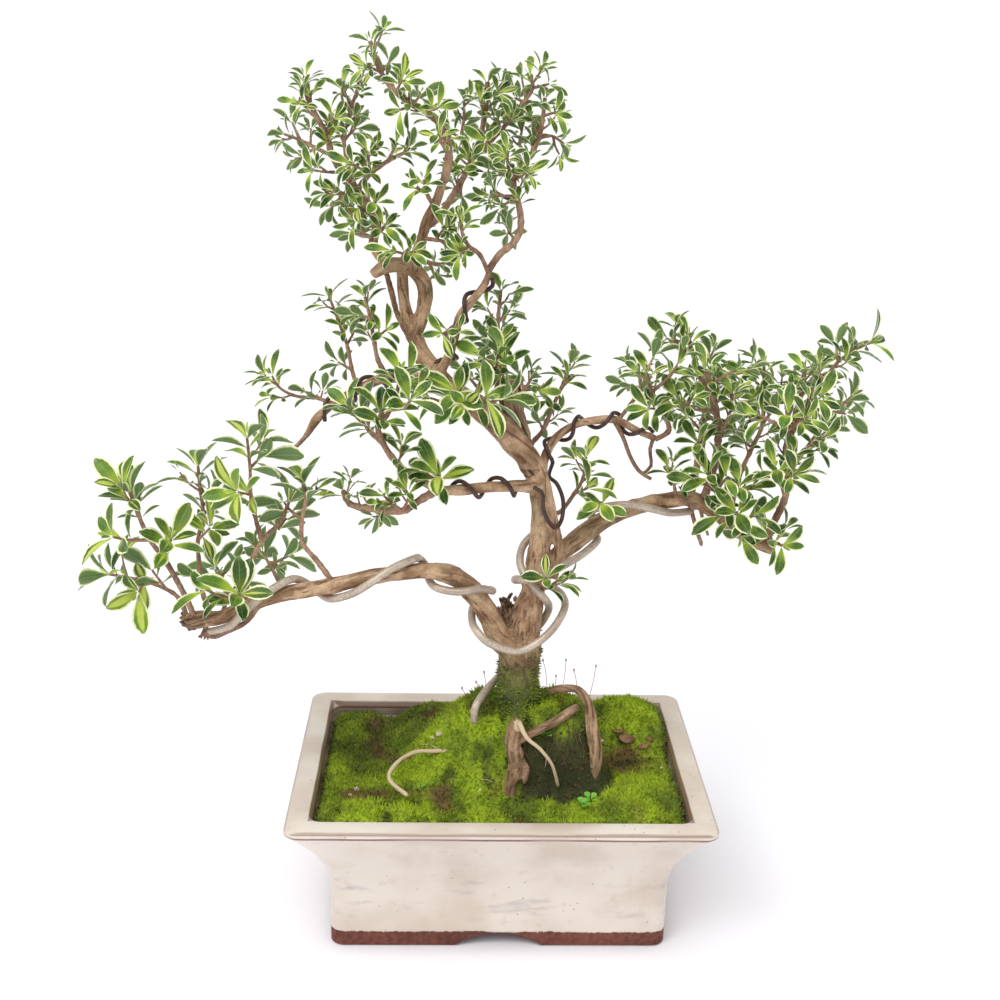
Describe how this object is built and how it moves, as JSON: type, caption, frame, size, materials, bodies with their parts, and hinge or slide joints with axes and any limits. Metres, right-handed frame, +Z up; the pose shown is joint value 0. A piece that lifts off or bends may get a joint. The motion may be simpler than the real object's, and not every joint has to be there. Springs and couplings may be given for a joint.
{
  "type": "serissa bonsai",
  "caption": "Wired variegated serissa bonsai with a curved trunk, layered leafy pads, roots over a moss mound and a rectangular glazed ceramic pot on feet",
  "frame": {"origin": "on the ground, under the middle of the whole object's bounding box", "axes": "+Z is up, +X runs along the pot's long sides to the right in the picture, and +Y runs from the front to the back"},
  "size_m": [0.3742, 0.142, 0.4178],
  "materials": {
    "glazed_pot": "satin",
    "soil": "matte",
    "moss": "matte",
    "bark": "matte",
    "leaf": "satin",
    "silver_wire": "satin",
    "brown_wire": "satin"
  },
  "bodies": {
    "root": {"pot": "glazed_pot", "soil": "soil", "moss": "moss", "tree": "bark", "wire_heavy_limbs": "silver_wire", "wire_heavy_trunk": "silver_wire", "wire_fine_low": "brown_wire", "wire_fine_top": "brown_wire", "wire_fine_left": "brown_wire", "spray_crown_back": "leaf", "spray_crown_left_01": "leaf", "spray_crown_left_02": "leaf", "spray_crown_left_03": "leaf", "spray_crown_left_04": "leaf", "spray_crown_left_05": "leaf", "spray_crown_left_06": "leaf", "spray_crown_left_07": "leaf", "spray_crown_low": "leaf", "spray_crown_mid_01": "leaf", "spray_crown_mid_02": "leaf", "spray_crown_mid_03": "leaf", "spray_crown_mid_04": "leaf", "spray_crown_right": "leaf", "spray_crown_tip": "leaf", "spray_left_01": "leaf", "spray_left_02": "leaf", "spray_left_03": "leaf", "spray_left_04": "leaf", "spray_left_05": "leaf", "spray_left_06": "leaf", "spray_left_07": "leaf", "spray_left_08": "leaf", "spray_middle_01": "leaf", "spray_middle_02": "leaf", "spray_middle_03": "leaf", "spray_middle_04": "leaf", "spray_middle_05": "leaf", "spray_middle_06": "leaf", "spray_middle_07": "leaf", "spray_middle_08": "leaf", "spray_middle_09": "leaf", "spray_middle_10": "leaf", "spray_middle_12": "leaf", "spray_middle_13": "leaf", "spray_middle_14": "leaf", "spray_right_01": "leaf", "spray_right_02": "leaf", "spray_right_03": "leaf", "spray_right_04": "leaf", "spray_right_05": "leaf", "spray_right_06": "leaf", "spray_right_07": "leaf", "spray_right_08": "leaf", "spray_right_10": "leaf", "spray_right_11": "leaf", "spray_right_12": "leaf", "spray_trunk_01": "leaf", "spray_trunk_02": "leaf", "spray_trunk_03": "leaf"}
  },
  "joints": []
}
